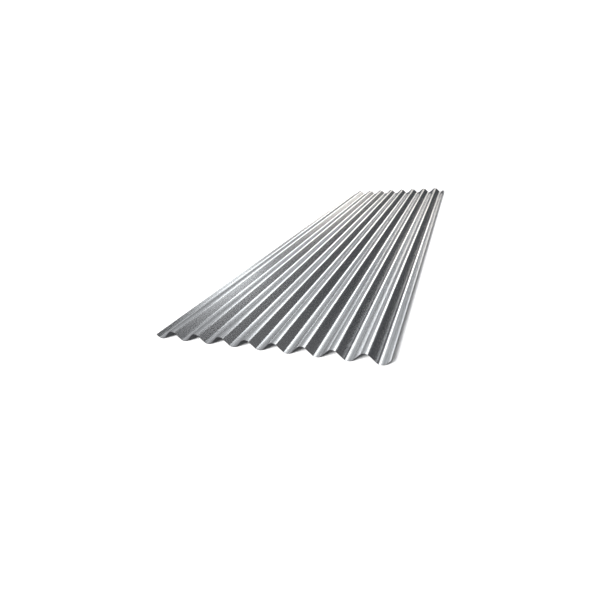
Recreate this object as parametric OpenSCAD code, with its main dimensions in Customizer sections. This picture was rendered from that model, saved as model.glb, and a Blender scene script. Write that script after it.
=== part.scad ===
// Corrugated steel sheet.
// One rolled sheet whose round corrugations run along Y, with both long edges
// turned up part of the way to a crest and both ends cut square.
// Each bend is an arc, and a straight flank joins it to the next one.
// Origin: middle of the sheet, on the plane that the troughs rest on.

/* [Sheet] */
// Length of the sheet, along the corrugations
sheet_len = 2000; // [300:50:6000]
// Thickness of the metal
sheet_t = 0.7; // [0.4:0.1:1.6]

/* [Corrugations] */
// Number of crests across the sheet
crests = 8; // [2:1:16]
// Distance from one crest to the next
pitch = 68; // [60:1:90]
// Height of a crest above a trough, on the same face
depth = 22; // [14:1:30]
// Radius of each bend, at the middle of the metal
bend_r = 14.5; // [8:0.5:14.5]

/* [Side edges] */
// Flat beyond the last bend at the left edge
left_lip = 8; // [1:0.5:12]
// Flat beyond the last bend at the right edge
right_lip = 11.5; // [1:0.5:12]

/* [Smoothness] */
// Steps that each bend is divided into
bend_steps = 12; // [4:2:24]

/* [Hidden] */

// Slope of the flanks: the one angle at which a straight line touches a
// trough's arc and the next crest's arc.
arc_gap = 2 * bend_r - depth;
flank_a = asin(2 * bend_r / norm([pitch / 2, arc_gap])) - atan2(arc_gap, pitch / 2);

// How far an edge stands out from the centre of the outermost trough
function edge_reach(lip) =
    (bend_r + sheet_t / 2) * sin(flank_a) + lip * cos(flank_a);

overall_w = crests * pitch + edge_reach(left_lip) + edge_reach(right_lip);
first_trough_x = edge_reach(left_lip) - overall_w / 2;

// A station is [x, z, slope] on the middle of the metal.

// Stations along one bend, in order of x. Even bends are troughs, odd ones crests.
function bend_stations(i) =
    let (is_trough = i % 2 == 0,
         turn = is_trough ? 1 : -1,
         centre_x = first_trough_x + i * pitch / 2,
         centre_z = sheet_t / 2 + (is_trough ? bend_r : depth - bend_r))
    [for (k = [0:bend_steps])
        let (slope = turn * flank_a * (2 * k / bend_steps - 1))
        [centre_x + turn * bend_r * sin(slope),
         centre_z - turn * bend_r * cos(slope),
         slope]];

// The station a given length further along the slope, or back along it
function run_on(station, length) =
    [station.x + length * cos(station.z), station.y + length * sin(station.z), station.z];

bends = [for (i = [0:2 * crests]) each bend_stations(i)];
stations = [
    run_on(bends[0], -left_lip),
    each bends,
    run_on(bends[len(bends) - 1], right_lip)
];

// One face of the metal, half its thickness above or below the stations
function face_points(offset) =
    [for (s = stations) [s.x - offset * sin(s.z), s.y + offset * cos(s.z)]];

// The list from its end to its start
function backwards(points) = [for (i = [len(points) - 1:-1:0]) points[i]];

// Cross-section of the sheet, with x across it and y up
module section() {
    polygon(concat(face_points(-sheet_t / 2), backwards(face_points(sheet_t / 2))));
}

module corrugated_sheet() {
    color([0.74, 0.75, 0.76])
        rotate([90, 0, 0])
            linear_extrude(height = sheet_len, center = true)
                section();
}

corrugated_sheet();
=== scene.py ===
"""Looks of the corrugated steel sheet: its rolled shape, its zinc finish and a plain studio around it."""

import logging
import math
from dataclasses import dataclass
from enum import Enum
from typing import Any

import bmesh
import bpy
from mathutils import Matrix, Vector


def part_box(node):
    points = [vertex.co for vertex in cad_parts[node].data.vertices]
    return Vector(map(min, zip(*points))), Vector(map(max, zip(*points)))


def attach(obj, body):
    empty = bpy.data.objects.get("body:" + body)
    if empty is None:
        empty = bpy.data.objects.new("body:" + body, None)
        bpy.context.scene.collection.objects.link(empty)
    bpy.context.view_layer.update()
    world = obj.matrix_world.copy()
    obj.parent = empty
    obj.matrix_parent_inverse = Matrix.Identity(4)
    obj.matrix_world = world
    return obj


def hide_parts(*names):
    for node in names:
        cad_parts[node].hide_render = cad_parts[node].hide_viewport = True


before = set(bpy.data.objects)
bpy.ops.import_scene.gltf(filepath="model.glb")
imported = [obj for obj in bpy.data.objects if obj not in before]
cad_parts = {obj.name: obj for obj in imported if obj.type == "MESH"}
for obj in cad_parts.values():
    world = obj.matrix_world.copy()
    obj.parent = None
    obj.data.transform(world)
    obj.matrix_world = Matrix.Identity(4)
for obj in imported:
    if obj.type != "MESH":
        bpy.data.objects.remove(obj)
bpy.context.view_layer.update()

log = logging.getLogger("corrugated_sheet")

STRIP_PLACE = "strip_place"
SHEARED = "sheared"
Colour = tuple[float, float, float]
Range = tuple[float, float]


class Maths(Enum):
    """Sums that a Math node does."""

    ADD = "ADD"
    SUBTRACT = "SUBTRACT"
    MULTIPLY = "MULTIPLY"
    DIVIDE = "DIVIDE"
    MULTIPLY_ADD = "MULTIPLY_ADD"
    MINIMUM = "MINIMUM"
    MAXIMUM = "MAXIMUM"
    ROUND = "ROUND"
    PINGPONG = "PINGPONG"
    SINE = "SINE"
    COSINE = "COSINE"
    ABSOLUTE = "ABSOLUTE"
    SIGN = "SIGN"
    LESS_THAN = "LESS_THAN"
    GREATER_THAN = "GREATER_THAN"


class Kind(Enum):
    """Kinds of value that a node tree takes in or gives out."""

    SHAPE = "NodeSocketGeometry"
    SIZE = "NodeSocketFloat"
    COUNT = "NodeSocketInt"
    FINISH = "NodeSocketMaterial"


class NodeBoard:
    """A node tree, with short calls that lay nodes into it."""

    def __init__(self, tree: bpy.types.NodeTree) -> None:
        """Keeps the tree that the nodes go into."""
        self.tree = tree

    def node(self, kind: str, **settings: Any) -> bpy.types.Node:
        """Adds one node.

        Args:
            kind: The node's type.
            **settings: Properties to set on it.

        Returns:
            The new node.
        """
        made = self.tree.nodes.new(kind)
        for name, value in settings.items():
            setattr(made, name, value)
        return made

    def feed(self, socket: bpy.types.NodeSocket, value: Any) -> None:
        """Fills one input.

        Args:
            socket: The input.
            value: A socket to link to it, or a value to set on it.
        """
        if isinstance(value, bpy.types.NodeSocket):
            self.tree.links.new(value, socket)
        else:
            socket.default_value = value

    def sum(self, kind: Maths, *values: Any) -> bpy.types.NodeSocket:
        """Adds a Math node.

        Args:
            kind: What it does with its inputs.
            *values: The inputs in order, each a socket or a number.

        Returns:
            The result.
        """
        made = self.node("ShaderNodeMath", operation=kind.value)
        for socket, value in zip(made.inputs, values):
            self.feed(socket, value)
        return made.outputs[0]

    def vector(self, x: Any, y: Any, z: Any) -> bpy.types.NodeSocket:
        """Joins three values into one vector.

        Args:
            x: The first, a socket or a number.
            y: The second.
            z: The third.

        Returns:
            The vector.
        """
        made = self.node("ShaderNodeCombineXYZ")
        for socket, value in zip(made.inputs, (x, y, z)):
            self.feed(socket, value)
        return made.outputs[0]

    def axes(self, vector: bpy.types.NodeSocket) -> tuple[bpy.types.NodeSocket, ...]:
        """Splits a vector.

        Args:
            vector: The vector.

        Returns:
            Its three numbers.
        """
        made = self.node("ShaderNodeSeparateXYZ")
        self.feed(made.inputs[0], vector)
        return tuple(made.outputs)


class ShadeBoard(NodeBoard):
    """A material's node tree, with short calls for textures and blends."""

    def place(self, attribute: str) -> bpy.types.NodeSocket:
        """Reads a place that is stored on the piece."""
        return self.node("ShaderNodeAttribute", attribute_name=attribute).outputs["Vector"]

    def in_units(self, place: bpy.types.NodeSocket, *unit: float) -> bpy.types.NodeSocket:
        """Counts a place in units of a given size.

        Args:
            place: The place, in metres.
            *unit: The unit's size across the strip, along it and through it.

        Returns:
            The place in those units.
        """
        made = self.node("ShaderNodeMapping", vector_type="POINT")
        self.feed(made.inputs["Vector"], place)
        self.feed(made.inputs["Scale"], [1 / size for size in unit])
        return made.outputs[0]

    def noise(self, place: bpy.types.NodeSocket, detail: float) -> bpy.types.NodeSocket:
        """Adds cloudy noise.

        Args:
            place: Where it is read, already scaled so that one unit is one blotch.
            detail: How many finer layers lie on the first one.

        Returns:
            The noise, around 0.5.
        """
        made = self.node("ShaderNodeTexNoise", noise_dimensions="3D")
        self.feed(made.inputs["Vector"], place)
        self.feed(made.inputs["Scale"], 1.0)
        self.feed(made.inputs["Detail"], detail)
        return made.outputs[0]

    def spread(self, value: bpy.types.NodeSocket, old: Range, new: Range) -> bpy.types.NodeSocket:
        """Moves a value from one range to another and keeps it inside.

        Args:
            value: The value.
            old: The range it comes from.
            new: The range it goes to.

        Returns:
            The moved value.
        """
        made = self.node("ShaderNodeMapRange", clamp=True)
        for name, number in zip(("Value", "From Min", "From Max", "To Min", "To Max"), (value, *old, *new)):
            self.feed(made.inputs[name], number)
        return made.outputs[0]

    def blend(self, amount: bpy.types.NodeSocket, first: Colour, second: Colour) -> bpy.types.NodeSocket:
        """Blends two colours.

        Args:
            amount: Share of the second colour.
            first: The first colour.
            second: The second colour.

        Returns:
            The blended colour.
        """
        made = self.node("ShaderNodeMix", data_type="RGBA", clamp_factor=True)
        colours = [socket for socket in made.inputs if socket.type == "RGBA"]
        self.feed(made.inputs[0], amount)
        for socket, value in zip(colours, (first, second)):
            self.feed(socket, (*value, 1.0))
        return next(socket for socket in made.outputs if socket.type == "RGBA")


@dataclass(frozen=True)
class Zinc:
    """Bright hot-dip zinc on cold-rolled strip: long fine grain, faint crystals and broad soft patches."""

    name: str = "galvanised_zinc"
    bright: Colour = (0.84, 0.84, 0.84)
    dull: Colour = (0.70, 0.70, 0.71)
    edge_tint: Colour = (0.90, 0.90, 0.90)
    roughness: Range = (0.195, 0.225)
    tone_range: Range = (0.1, 0.9)
    noise_range: Range = (0.3, 0.7)
    grain_width: float = 0.0012
    grain_length: float = 0.12
    grain_detail: float = 3.0
    grain_share: float = 0.35
    crystal: float = 0.009
    crystal_share: float = 0.3
    patch: float = 0.22
    patch_detail: float = 4.0
    patch_share: float = 0.35
    ripple_width: float = 0.010
    ripple_length: float = 0.010 / 0.3
    ripple_detail: float = 2.0
    ripple_height: float = 0.000004

    def material(self) -> bpy.types.Material:
        """Builds the finish.

        Returns:
            The material.
        """
        made = bpy.data.materials.new(self.name)
        made.use_nodes = True
        board = ShadeBoard(made.node_tree)
        shader = made.node_tree.nodes["Principled BSDF"]
        place = board.place(STRIP_PLACE)
        tone = self.tone(board, place)
        board.feed(shader.inputs["Base Color"], board.blend(tone, self.bright, self.dull))
        board.feed(shader.inputs["Roughness"], board.spread(tone, self.tone_range, self.roughness))
        shader.inputs["Metallic"].default_value = 1.0
        shader.inputs["Specular Tint"].default_value = (*self.edge_tint, 1.0)

        ripple_place = board.in_units(place, self.ripple_width, self.ripple_length, 1.0)
        relief = board.node("ShaderNodeBump")
        board.feed(relief.inputs["Strength"], 1.0)
        board.feed(relief.inputs["Distance"], self.ripple_height)
        board.feed(relief.inputs["Height"], board.noise(ripple_place, self.ripple_detail))
        board.feed(shader.inputs["Normal"], relief.outputs[0])
        return made

    def tone(self, board: ShadeBoard, place: bpy.types.NodeSocket) -> bpy.types.NodeSocket:
        """Adds up the grain, the crystals and the patches.

        Args:
            board: The material's board.
            place: The place on the strip.

        Returns:
            How dull the zinc is there, from 0 to 1.
        """
        grain_place = board.in_units(place, self.grain_width, self.grain_length, 1.0)
        grain = board.noise(grain_place, self.grain_detail)
        patch_place = board.in_units(place, self.patch, self.patch, self.patch)
        patches = board.noise(patch_place, self.patch_detail)
        crystals = board.node("ShaderNodeTexVoronoi", feature="F1")
        crystal_place = board.in_units(place, self.crystal, self.crystal, self.crystal)
        board.feed(crystals.inputs["Vector"], crystal_place)
        board.feed(crystals.inputs["Scale"], 1.0)
        facet = board.axes(crystals.outputs["Color"])[0]
        tone = board.sum(Maths.ADD, board.spread(grain, self.noise_range, (0.0, self.grain_share)),
                         board.spread(facet, (0.0, 1.0), (0.0, self.crystal_share)))
        return board.sum(Maths.ADD, tone, board.spread(patches, self.noise_range, (0.0, self.patch_share)))


@dataclass(frozen=True)
class ShearedSteel:
    """Bare steel where the strip was slit and the sheet cut off."""

    name: str = "sheared_steel"
    bright: Colour = (0.30, 0.30, 0.31)
    dull: Colour = (0.12, 0.115, 0.11)
    roughness: float = 0.45
    tear_width: float = 0.0004
    tear_depth: float = 0.002
    tear_detail: float = 2.0
    tear_range: Range = (0.35, 0.65)

    def material(self) -> bpy.types.Material:
        """Builds the finish.

        Returns:
            The material.
        """
        made = bpy.data.materials.new(self.name)
        made.use_nodes = True
        board = ShadeBoard(made.node_tree)
        shader = made.node_tree.nodes["Principled BSDF"]
        place = board.in_units(board.place(STRIP_PLACE), self.tear_width, self.tear_width, self.tear_depth)
        tears = board.spread(board.noise(place, self.tear_detail), self.tear_range, (0.0, 1.0))
        board.feed(shader.inputs["Base Color"], board.blend(tears, self.bright, self.dull))
        shader.inputs["Metallic"].default_value = 1.0
        shader.inputs["Roughness"].default_value = self.roughness
        return made


@dataclass
class CorrugatedSheet:
    """The sheet, as a flat strip that is rolled round the bends of its section."""

    node: str = "corrugated_sheet"
    slot: str = "galvanised_steel"
    crests: int = 8
    pitch: float = 0.068
    depth: float = 0.022
    bend_radius: float = 0.0145
    thickness: float = 0.0007
    left_lip: float = 0.008
    edge_chamfer: float = 0.00012
    steps_across: int = 720
    steps_along: int = 10
    layers: int = 4
    face_layer: float = 0.4
    face_tilt: float = 0.5
    sharp_angle: float = math.radians(25)

    def flank_slope(self) -> float:
        """Works out the slope of the flanks.

        Returns:
            The angle of the straight that touches the bend on each side of it.
        """
        gap = 2 * self.bend_radius - self.depth
        half_pitch = self.pitch / 2
        return math.asin(2 * self.bend_radius / math.hypot(half_pitch, gap)) - math.atan2(gap, half_pitch)

    def bend_reach(self) -> float:
        """Distance across the sheet from a bend's centre to the outer face at its end."""
        return (self.bend_radius + self.thickness / 2) * math.sin(self.flank_slope())

    def sizes(self) -> dict[str, float | int]:
        """Works out every input of the node tree.

        Returns:
            The inputs' values by name.
        """
        low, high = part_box(self.node)
        slope = self.flank_slope()
        bend = self.bend_radius * slope
        flank = (self.depth - 2 * self.bend_radius * (1 - math.cos(slope))) / math.sin(slope)
        left_reach = self.bend_reach() + self.left_lip * math.cos(slope)
        right_reach = high.x - low.x - self.crests * self.pitch - left_reach
        right_lip = (right_reach - self.bend_reach()) / math.cos(slope)
        return {
            "Length": high.y - low.y,
            "Crests": self.crests,
            "Pitch": self.pitch,
            "Depth": self.depth,
            "Bend Radius": self.bend_radius,
            "Flank Slope": slope,
            "Half Wave": 2 * bend + flank,
            "Thickness": self.thickness,
            "Left Run": bend + self.left_lip,
            "Right Run": bend + right_lip,
            "First Trough": low.x + left_reach,
            "Edge Chamfer": self.edge_chamfer,
            "Steps Across": self.steps_across,
            "Steps Along": self.steps_along,
        }

    def tree(self) -> bpy.types.NodeTree:
        """Builds the node tree that rolls the strip.

        Returns:
            The tree. Its inputs are those of sizes, and the two finishes.
        """
        tree = bpy.data.node_groups.new("rolled_sheet", "GeometryNodeTree")
        tree.interface.new_socket("Sheet", in_out="OUTPUT", socket_type=Kind.SHAPE.value)
        for name, value in self.sizes().items():
            kind = Kind.COUNT if isinstance(value, int) else Kind.SIZE
            tree.interface.new_socket(name, in_out="INPUT", socket_type=kind.value)
        for name in ("Zinc", "Sheared Steel"):
            tree.interface.new_socket(name, in_out="INPUT", socket_type=Kind.FINISH.value)
        board = NodeBoard(tree)
        size = board.node("NodeGroupInput").outputs
        strip = self.strip(board, size)
        rolled = self.roll(board, size, strip)
        self.finish(board, size, rolled)
        return tree

    def strip(self, board: NodeBoard, size: bpy.types.NodeOutputs) -> bpy.types.NodeSocket:
        """Lays out the strip as a closed block of faces that marks which of them were sheared.

        Args:
            board: The tree's board.
            size: The tree's inputs.

        Returns:
            The block, one unit long each way.
        """
        block = board.node("GeometryNodeMeshCube")
        board.feed(block.inputs["Size"], (1.0, 1.0, 1.0))
        board.feed(block.inputs["Vertices X"], board.sum(Maths.ADD, size["Steps Across"], 1))
        board.feed(block.inputs["Vertices Y"], board.sum(Maths.ADD, size["Steps Along"], 1))
        board.feed(block.inputs["Vertices Z"], self.layers)
        facing = board.axes(board.node("GeometryNodeInputNormal").outputs[0])[2]
        is_rim = board.sum(Maths.LESS_THAN, board.sum(Maths.ABSOLUTE, facing), self.face_tilt)
        mark = board.node("GeometryNodeStoreNamedAttribute", data_type="BOOLEAN", domain="FACE")
        board.feed(mark.inputs["Geometry"], block.outputs["Mesh"])
        board.feed(mark.inputs["Name"], SHEARED)
        board.feed(mark.inputs["Value"], is_rim)
        return mark.outputs[0]

    def roll(self, board: NodeBoard, size: bpy.types.NodeOutputs,
             strip: bpy.types.NodeSocket) -> bpy.types.NodeSocket:
        """Rolls the strip: every point goes round its nearest bend, and on along the flank beyond it.

        Args:
            board: The tree's board.
            size: The tree's inputs.
            strip: The block to roll.

        Returns:
            The rolled sheet.
        """
        do = board.sum
        across, along, layer = board.axes(board.node("GeometryNodeInputPosition").outputs[0])

        # The outer layers of points are the two faces, which stop short of the rim by the chamfer. The
        # inner layers reach the rim, and lie that much below the faces.
        side = do(Maths.SIGN, layer)
        is_face = do(Maths.GREATER_THAN, do(Maths.ABSOLUTE, layer), self.face_layer)
        inset = do(Maths.MULTIPLY, is_face, size["Edge Chamfer"])
        half = do(Maths.MULTIPLY, size["Thickness"], 0.5)
        drop = do(Maths.SUBTRACT, size["Edge Chamfer"], inset)
        offset = do(Maths.MULTIPLY, side, do(Maths.SUBTRACT, half, drop))

        # Place on the flat strip, counted from the first trough's centre.
        waves = do(Maths.MULTIPLY, do(Maths.MULTIPLY, size["Crests"], 2.0), size["Half Wave"])
        full = do(Maths.ADD, do(Maths.ADD, size["Left Run"], size["Right Run"]), waves)
        width = do(Maths.SUBTRACT, full, do(Maths.MULTIPLY, inset, 2.0))
        start = do(Maths.SUBTRACT, inset, size["Left Run"])
        flat = do(Maths.MULTIPLY_ADD, do(Maths.ADD, across, 0.5), width, start)
        length = do(Maths.SUBTRACT, size["Length"], do(Maths.MULTIPLY, inset, 2.0))
        down = do(Maths.MULTIPLY, along, length)

        # The nearest bend, the turn round it and the straight beyond its end.
        bend = do(Maths.ROUND, do(Maths.DIVIDE, flat, size["Half Wave"]))
        bend = do(Maths.MAXIMUM, bend, 0.0)
        bend = do(Maths.MINIMUM, bend, do(Maths.MULTIPLY, size["Crests"], 2.0))
        from_bend = do(Maths.SUBTRACT, flat, do(Maths.MULTIPLY, bend, size["Half Wave"]))
        turned = do(Maths.DIVIDE, from_bend, size["Bend Radius"])
        turned = do(Maths.MINIMUM, turned, size["Flank Slope"])
        turned = do(Maths.MAXIMUM, turned, do(Maths.MULTIPLY, size["Flank Slope"], -1.0))
        straight = do(Maths.SUBTRACT, from_bend, do(Maths.MULTIPLY, turned, size["Bend Radius"]))
        sine, cosine = do(Maths.SINE, turned), do(Maths.COSINE, turned)
        travel = do(Maths.ADD, do(Maths.MULTIPLY, size["Bend Radius"], sine),
                    do(Maths.MULTIPLY, straight, cosine))
        rise = do(Maths.ADD, do(Maths.MULTIPLY, size["Bend Radius"], do(Maths.SUBTRACT, 1.0, cosine)),
                  do(Maths.MULTIPLY, straight, sine))

        # Even bends are troughs and odd ones crests, which are the same shape upside down.
        is_crest = do(Maths.PINGPONG, bend, 1.0)
        way = do(Maths.MULTIPLY_ADD, is_crest, -2.0, 1.0)
        middle_x = do(Maths.ADD, size["First Trough"],
                      do(Maths.MULTIPLY_ADD, bend, do(Maths.MULTIPLY, size["Pitch"], 0.5), travel))
        middle_z = do(Maths.ADD, half, do(Maths.MULTIPLY_ADD, way, rise,
                                          do(Maths.MULTIPLY, is_crest, size["Depth"])))
        x = do(Maths.SUBTRACT, middle_x, do(Maths.MULTIPLY, offset, do(Maths.MULTIPLY, way, sine)))
        z = do(Maths.ADD, middle_z, do(Maths.MULTIPLY, offset, cosine))

        mark = board.node("GeometryNodeStoreNamedAttribute", data_type="FLOAT_VECTOR", domain="POINT")
        board.feed(mark.inputs["Geometry"], strip)
        board.feed(mark.inputs["Name"], STRIP_PLACE)
        board.feed(mark.inputs["Value"], board.vector(flat, down, offset))
        place = board.node("GeometryNodeSetPosition")
        board.feed(place.inputs["Geometry"], mark.outputs[0])
        board.feed(place.inputs["Position"], board.vector(x, down, z))
        return place.outputs[0]

    def finish(self, board: NodeBoard, size: bpy.types.NodeOutputs,
               rolled: bpy.types.NodeSocket) -> None:
        """Smooths the bends, keeps the rim crisp and gives each face its finish.

        Args:
            board: The tree's board.
            size: The tree's inputs.
            rolled: The rolled sheet.
        """
        angle = board.node("GeometryNodeInputMeshEdgeAngle").outputs[0]
        is_crisp = board.sum(Maths.GREATER_THAN, angle, self.sharp_angle)
        smooth = board.node("GeometryNodeSetShadeSmooth", domain="EDGE")
        board.feed(smooth.inputs[0], rolled)
        board.feed(smooth.inputs["Selection"], is_crisp)
        board.feed(smooth.inputs["Shade Smooth"], False)
        real = board.node("GeometryNodeRealizeInstances")
        board.feed(real.inputs[0], smooth.outputs[0])
        coat = board.node("GeometryNodeSetMaterial")
        board.feed(coat.inputs["Geometry"], real.outputs[0])
        board.feed(coat.inputs["Material"], size["Zinc"])
        is_sheared = board.node("GeometryNodeInputNamedAttribute", data_type="BOOLEAN")
        board.feed(is_sheared.inputs["Name"], SHEARED)
        rim = board.node("GeometryNodeSetMaterial")
        board.feed(rim.inputs["Geometry"], coat.outputs[0])
        board.feed(rim.inputs["Selection"], is_sheared.outputs[0])
        board.feed(rim.inputs["Material"], size["Sheared Steel"])
        board.feed(board.node("NodeGroupOutput").inputs[0], rim.outputs[0])

    def build(self) -> bpy.types.Object:
        """Runs the node tree and keeps its result as a plain mesh.

        Returns:
            The sheet, dressed and riding on its body.
        """
        tree = self.tree()
        values: dict[str, Any] = self.sizes()
        values["Zinc"] = Zinc().material()
        values["Sheared Steel"] = ShearedSteel().material()
        sheet = bpy.data.objects.new("rolled_sheet", bpy.data.meshes.new("strip"))
        bpy.context.scene.collection.objects.link(sheet)
        roller = sheet.modifiers.new("roller", "NODES")
        roller.node_group = tree
        for socket in tree.interface.items_tree:
            if socket.in_out == "INPUT":
                roller[socket.identifier] = values[socket.name]
        depsgraph = bpy.context.evaluated_depsgraph_get()
        mesh = bpy.data.meshes.new_from_object(sheet.evaluated_get(depsgraph))
        mesh.name = "rolled_sheet"
        # The first slot is empty: it stands for the finish of the mesh that the tree was given.
        mesh.materials.pop(index=0)
        sheet.modifiers.remove(roller)
        sheet.data = mesh
        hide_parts(self.node)
        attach(sheet, "root")
        return sheet


@dataclass
class Backdrop:
    """White paper under the sheet and far round it, so that no horizon shows."""

    reach: float = 40.0
    paper: Colour = (0.90, 0.90, 0.90)
    dark: Colour = (0.0, 0.0, 0.0)
    paper_roughness: float = 0.95
    dome_glow: float = 1.5
    dome_steps: int = 24

    def build(self) -> list[bpy.types.Object]:
        """Makes the floor, and a dome round it that only the camera sees.

        Returns:
            The floor and the dome.
        """
        floor = bpy.data.meshes.new("floor")
        corners = [(x * self.reach, y * self.reach, 0.0) for x, y in ((-1, -1), (1, -1), (1, 1), (-1, 1))]
        floor.from_pydata(corners, [], [(0, 1, 2, 3)])
        floor.materials.append(self.dress("floor_paper", self.paper))
        dome = bpy.data.meshes.new("dome")
        shell = bmesh.new()
        bmesh.ops.create_uvsphere(shell, u_segments=2 * self.dome_steps, v_segments=self.dome_steps,
                                  radius=self.reach)
        shell.to_mesh(dome)
        shell.free()
        dome.materials.append(self.dress("dome_paper", self.dark, self.dome_glow))
        made = []
        for mesh in (floor, dome):
            piece = bpy.data.objects.new(mesh.name, mesh)
            bpy.context.scene.collection.objects.link(piece)
            made.append(piece)
        made[0].visible_glossy = False
        for ray in ("diffuse", "glossy", "transmission", "volume_scatter", "shadow"):
            setattr(made[1], f"visible_{ray}", False)
        return made

    def dress(self, name: str, colour: Colour, glow: float = 0.0) -> bpy.types.Material:
        """Builds one paper.

        Args:
            name: The paper's name.
            colour: Its colour.
            glow: How brightly it shines by itself.

        Returns:
            The material.
        """
        made = bpy.data.materials.new(name)
        made.use_nodes = True
        shader = made.node_tree.nodes["Principled BSDF"]
        shader.inputs["Base Color"].default_value = (*colour, 1.0)
        shader.inputs["Roughness"].default_value = self.paper_roughness
        shader.inputs["Specular IOR Level"].default_value = 0.0
        shader.inputs["Emission Color"].default_value = (1.0, 1.0, 1.0, 1.0)
        shader.inputs["Emission Strength"].default_value = glow
        return made


@dataclass
class Camera:
    """The camera, placed by its direction from the sheet's middle."""

    azimuth: float = math.radians(23.65)
    elevation: float = math.radians(23.51)
    roll: float = math.radians(-6.07)
    distance: float = 1.7136
    slide_right: float = -0.2696
    slide_up: float = -0.2930
    lens: float = 23.45
    film: float = 36.0
    aim_x: float = -0.001237

    def build(self) -> bpy.types.Object:
        """Makes the camera and sets it as the scene's own.

        Returns:
            The camera.
        """
        back = Vector((math.sin(self.azimuth) * math.cos(self.elevation),
                       -math.cos(self.azimuth) * math.cos(self.elevation),
                       math.sin(self.elevation)))
        right = Vector((0, 0, 1)).cross(back).normalized()
        up = back.cross(right)
        tilted_right = math.cos(self.roll) * right + math.sin(self.roll) * up
        tilted_up = math.cos(self.roll) * up - math.sin(self.roll) * right
        place = (Vector((self.aim_x, 0, 0)) + back * self.distance
                 + tilted_right * self.slide_right + tilted_up * self.slide_up)
        data = bpy.data.cameras.new("camera")
        data.lens = self.lens
        data.sensor_width = self.film
        camera = bpy.data.objects.new("camera", data)
        bpy.context.scene.collection.objects.link(camera)
        camera.matrix_world = Matrix.Translation(place) @ Matrix(
            (tilted_right, tilted_up, back)).transposed().to_4x4()
        bpy.context.scene.camera = camera
        return camera


def direction(azimuth: float, elevation: float) -> Vector:
    """Turns an azimuth from +Y towards +X and an elevation, in degrees, into a unit vector."""
    turn, rise = math.radians(azimuth), math.radians(elevation)
    return Vector((math.sin(turn) * math.cos(rise), math.cos(turn) * math.cos(rise), math.sin(rise)))


@dataclass
class SoftPanel:
    """A large soft light far away, which the metal mirrors.

    Its place and its size are angles as seen from the sheet, in degrees: azimuth turns from the sheet's
    far end towards its right side, and lean tips the panel to the right.
    """

    name: str
    azimuth: float
    elevation: float
    width: float
    height: float
    strength: float
    lean: float = 0.0
    colour: Colour = (1.0, 1.0, 1.0)
    distance: float = 30.0

    def build(self) -> None:
        """Makes the light."""
        out = direction(self.azimuth, self.elevation)
        data = bpy.data.lights.new(self.name, "AREA")
        data.shape = "RECTANGLE"
        data.size = 2 * self.distance * math.tan(math.radians(self.width / 2))
        data.size_y = 2 * self.distance * math.tan(math.radians(self.height / 2))
        data.energy = self.strength * data.size * data.size_y * math.pi
        data.color = self.colour
        light = bpy.data.objects.new(self.name, data)
        bpy.context.scene.collection.objects.link(light)
        turn = out.to_track_quat("Z", "Y").to_matrix().to_4x4()
        light.matrix_world = (Matrix.Translation(out * self.distance) @ turn
                              @ Matrix.Rotation(math.radians(self.lean), 4, "Z"))
        light.visible_camera = False


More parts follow.
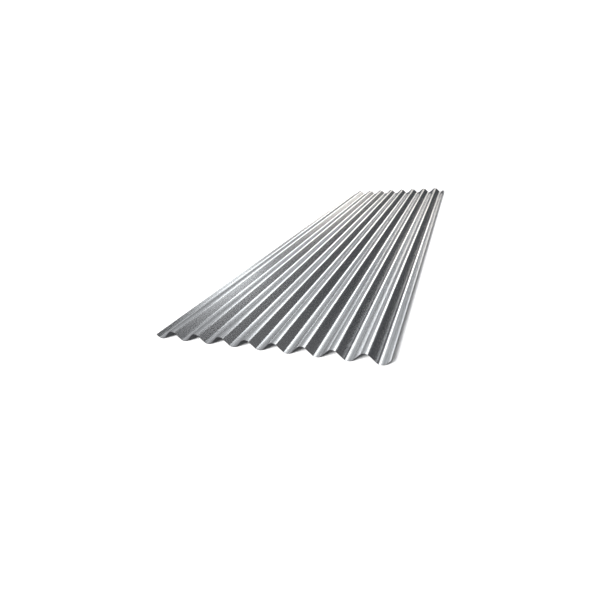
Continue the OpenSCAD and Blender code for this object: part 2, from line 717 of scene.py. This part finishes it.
@dataclass
class Studio:
    """Soft panels all round, and a key light for the floor alone. Angles are in degrees."""

    air: Colour = (0.078, 0.080, 0.085)
    cool: Colour = (0.96, 0.995, 1.02)
    warm: Colour = (1.04, 1.00, 0.95)
    key_azimuth: float = 200.0
    key_elevation: float = 28.0
    key_spread: float = 24.0
    key_strength: float = 7.2

    def panels(self) -> list[SoftPanel]:
        """Lists the panels: one set that stands at both ends of the sheet, and those of its sides.

        Each row gives azimuth, elevation, width, height and strength.

        Returns:
            The panels.
        """
        cool, warm = self.cool, self.warm
        made = []
        for end, turn in (("far", 0.0), ("near", 180.0)):
            made += [
                SoftPanel(f"{end}_wall", turn - 50.0, 31.0, 60.0, 50.0, 0.32, colour=cool),
                SoftPanel(f"{end}_middle", turn - 10.0, 31.0, 20.0, 50.0, 0.25, lean=14.0, colour=cool),
                SoftPanel(f"{end}_strip_1", turn + 0.5, 9.0, 13.0, 9.0, 0.4, lean=22.0, colour=warm),
                SoftPanel(f"{end}_strip_2", turn + 4.3, 18.0, 13.0, 9.5, 2.2, lean=22.0, colour=warm),
                SoftPanel(f"{end}_strip_3", turn + 6.5, 27.0, 13.0, 9.5, 2.3, lean=22.0, colour=cool),
                SoftPanel(f"{end}_strip_4", turn + 15.3, 36.0, 16.0, 9.5, 2.0, lean=22.0, colour=cool),
                SoftPanel(f"{end}_strip_5", turn - 1.5, 37.0, 15.0, 9.5, 0.9, colour=cool),
                SoftPanel(f"{end}_glow", turn + 34.0, 30.0, 26.0, 22.0, 0.05, lean=22.0),
            ]
        made += [
            SoftPanel("roof", 90.0, 88.0, 70.0, 26.0, 1.0),
            SoftPanel("left_wall", -98.0, 31.0, 36.0, 50.0, 0.33, colour=cool),
            SoftPanel("near_high", 195.0, 50.0, 40.0, 12.0, 1.5, lean=10.0),
        ]
        return made

    def build(self, floor: bpy.types.Object) -> None:
        """Lights the room.

        Args:
            floor: The floor, which the key light falls on.
        """
        world = bpy.data.worlds.new("studio_air")
        world.use_nodes = True
        world.node_tree.nodes["Background"].inputs["Color"].default_value = (*self.air, 1.0)
        bpy.context.scene.world = world
        for panel in self.panels():
            panel.build()
        key = bpy.data.objects.new("floor_key", bpy.data.lights.new("floor_key", "SUN"))
        key.data.angle = math.radians(self.key_spread)
        key.data.energy = self.key_strength
        bpy.context.scene.collection.objects.link(key)
        out = direction(self.key_azimuth, self.key_elevation)
        key.matrix_world = out.to_track_quat("Z", "Y").to_matrix().to_4x4()
        lit = bpy.data.collections.new("floor_only")
        lit.objects.link(floor)
        key.light_linking.receiver_collection = lit
        key.visible_glossy = False
        key.visible_camera = False
        bpy.context.scene.view_settings.view_transform = "Standard"


def main() -> None:
    """Builds the sheet, then the studio round it."""
    logging.basicConfig(level=logging.INFO, format="%(name)s: %(message)s")
    sheet = CorrugatedSheet().build()
    log.info("%s has %d faces", sheet.name, len(sheet.data.polygons))
    floor, dome = Backdrop().build()
    log.info("%s lies under it and %s stands round it", floor.name, dome.name)
    camera = Camera().build()
    log.info("%s stands at %s", camera.name, [round(number, 3) for number in camera.matrix_world.translation])
    Studio().build(floor)


if __name__ == "__main__":
    main()
